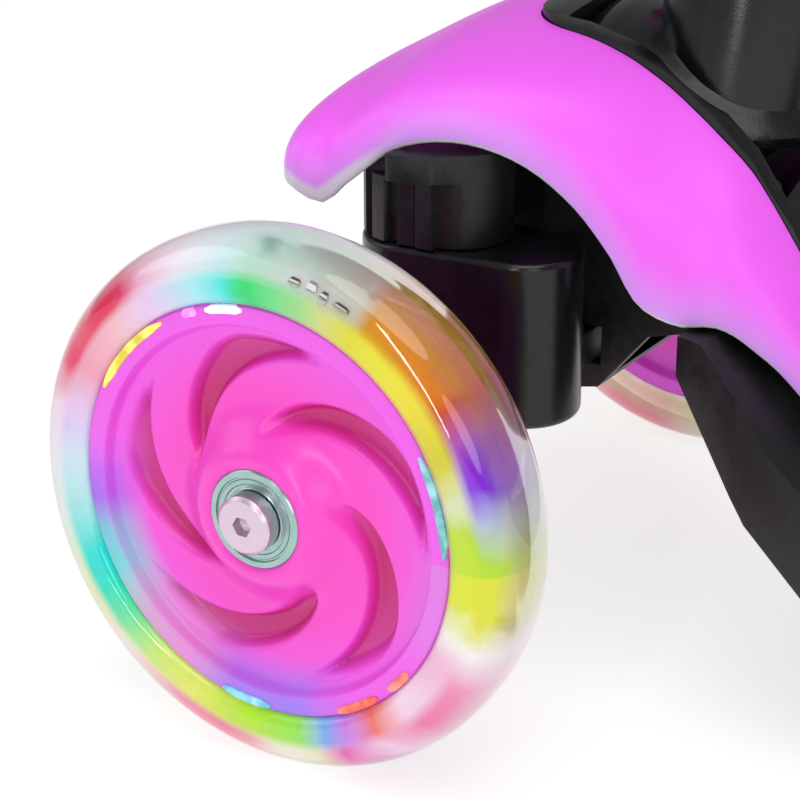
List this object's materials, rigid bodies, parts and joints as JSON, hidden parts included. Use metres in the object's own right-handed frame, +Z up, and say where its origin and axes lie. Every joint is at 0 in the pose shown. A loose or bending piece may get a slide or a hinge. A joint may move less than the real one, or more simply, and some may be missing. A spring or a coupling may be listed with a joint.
{
  "type": "kick scooter",
  "caption": "Small three-wheel kick scooter that steers by leaning: pink wing-shaped front cover, clear light-up wheels, low ribbed deck, telescoping T-bar and a rear fender brake",
  "frame": {"origin": "on the ground under the middle of the scooter", "axes": "+X forward, +Y to the rider's left, +Z up"},
  "size_m": [0.54, 0.3, 0.6195],
  "materials": {
    "magenta_cover": "semi-gloss moulded polypropylene",
    "black_nylon": "fine-textured glass-filled nylon",
    "black_gloss": "satin black ABS",
    "pink_core": "translucent hot-pink polypropylene",
    "clear_tread": "clear cast polyurethane",
    "light_boards": "circuit boards with coloured lamps",
    "steel": "zinc-plated steel",
    "bearing_steel": "polished bearing steel",
    "anodised_tube": "satin anodised aluminium",
    "grip_foam": "pink soft rubber",
    "grip_pad": "black ribbed rubber",
    "acetal": "natural acetal"
  },
  "bodies": {
    "chassis": {"deck": "black_nylon", "grip_pad": "grip_pad", "front_truck": "black_nylon", "front_cover": "magenta_cover", "neck_fairing": "black_gloss", "king_pin_bolts": "steel", "truck_bolts": "steel", "cover_screws": "steel", "lean_pivot_pin": "steel", "brake_hinge_pin": "steel", "brake_springs": "steel", "rear_axle_bolt": "steel", "rear_axle_nut": "steel", "axle_sleeves": "steel", "rear_hub_spacer": "steel"},
    "stem": {"lean_hub": "black_gloss", "hub_bushes": "acetal", "lower_tube": "anodised_tube", "guide_bush": "acetal", "clamp_collar": "black_gloss", "clamp_bolt": "steel", "lever_pin": "steel", "button_spring": "steel"},
    "button": {"release_button": "magenta_cover"},
    "lever": {"clamp_lever": "black_gloss"},
    "bar": {"inner_tube": "anodised_tube", "tube_foot": "acetal", "handlebar_tee": "black_gloss", "handlebar": "anodised_tube", "left_grip": "grip_foam", "right_grip": "grip_foam", "bar_caps": "black_gloss"},
    "tie_rod": {"tie_rod": "black_nylon"},
    "rear_wheel": {"rear_core": "pink_core", "rear_tyre": "clear_tread", "rear_bearings": "bearing_steel"},
    "brake": {"brake_fender": "black_gloss", "brake_shoe": "steel"},
    "left_steer": {"left_knuckle": "black_nylon", "left_rod_pin": "steel", "left_axle_bolt": "steel", "left_hub_spacer": "steel"},
    "left_wheel": {"left_core": "pink_core", "left_tyre": "clear_tread", "left_light_ring": "light_boards", "left_bearings": "bearing_steel"},
    "right_steer": {"right_knuckle": "black_nylon", "right_rod_pin": "steel", "right_axle_bolt": "steel", "right_hub_spacer": "steel"},
    "right_wheel": {"right_core": "pink_core", "right_tyre": "clear_tread", "right_light_ring": "light_boards", "right_bearings": "bearing_steel"}
  },
  "joints": [
    {"name": "stem_lean", "type": "hinge", "parent": "chassis", "child": "stem", "pos_m": [0.16, 0, 0.108], "axis": [1, 0, 0], "range_deg": [-10, 10], "stiffness_Nm_per_rad": 30},
    {"name": "tie_rod_slide", "type": "slide", "parent": "chassis", "child": "tie_rod", "axis": [0, 1, 0], "range_m": [-0.0056, 0.0056]},
    {"name": "left_steer_turn", "type": "hinge", "parent": "chassis", "child": "left_steer", "pos_m": [0.207, 0.052, 0.06], "axis": [0, 0, 1], "range_deg": [-13.3, 13.3]},
    {"name": "left_wheel_spin", "type": "hinge", "parent": "left_steer", "child": "left_wheel", "pos_m": [0.21, 0.1044, 0.06], "axis": [0, 1, 0], "continuous": true},
    {"name": "right_steer_turn", "type": "hinge", "parent": "chassis", "child": "right_steer", "pos_m": [0.207, -0.052, 0.06], "axis": [0, 0, 1], "range_deg": [-13.3, 13.3]},
    {"name": "right_wheel_spin", "type": "hinge", "parent": "right_steer", "child": "right_wheel", "pos_m": [0.21, -0.1044, 0.06], "axis": [0, 1, 0], "continuous": true},
    {"name": "rear_wheel_spin", "type": "hinge", "parent": "chassis", "child": "rear_wheel", "pos_m": [-0.22, 0, 0.04], "axis": [0, 1, 0], "continuous": true},
    {"name": "brake_press", "type": "hinge", "parent": "chassis", "child": "brake", "pos_m": [-0.168, 0, 0.051], "axis": [0, -1, 0], "range_deg": [0, 3], "stiffness_Nm_per_rad": 8, "springref_deg": -1.72},
    {"name": "button_press", "type": "slide", "parent": "stem", "child": "button", "axis": [-0.9945, 0, -0.1045], "range_m": [0, 0.003], "stiffness_N_per_m": 1500},
    {"name": "height_slide", "type": "slide", "parent": "stem", "child": "bar", "axis": [-0.1045, 0, 0.9945], "range_m": [0, 0.12]},
    {"name": "clamp_lever_turn", "type": "hinge", "parent": "stem", "child": "lever", "pos_m": [0.09714, 0.03, 0.43824], "axis": [-0.1045, 0, 0.9945], "range_deg": [0, 80]}
  ],
  "couplings": [
    {"joint": "tie_rod_slide", "follows": "stem_lean", "m_per_rad": 0.031},
    {"joint": "left_steer_turn", "follows": "stem_lean", "ratio": -1.2917},
    {"joint": "right_steer_turn", "follows": "stem_lean", "ratio": -1.2917}
  ]
}
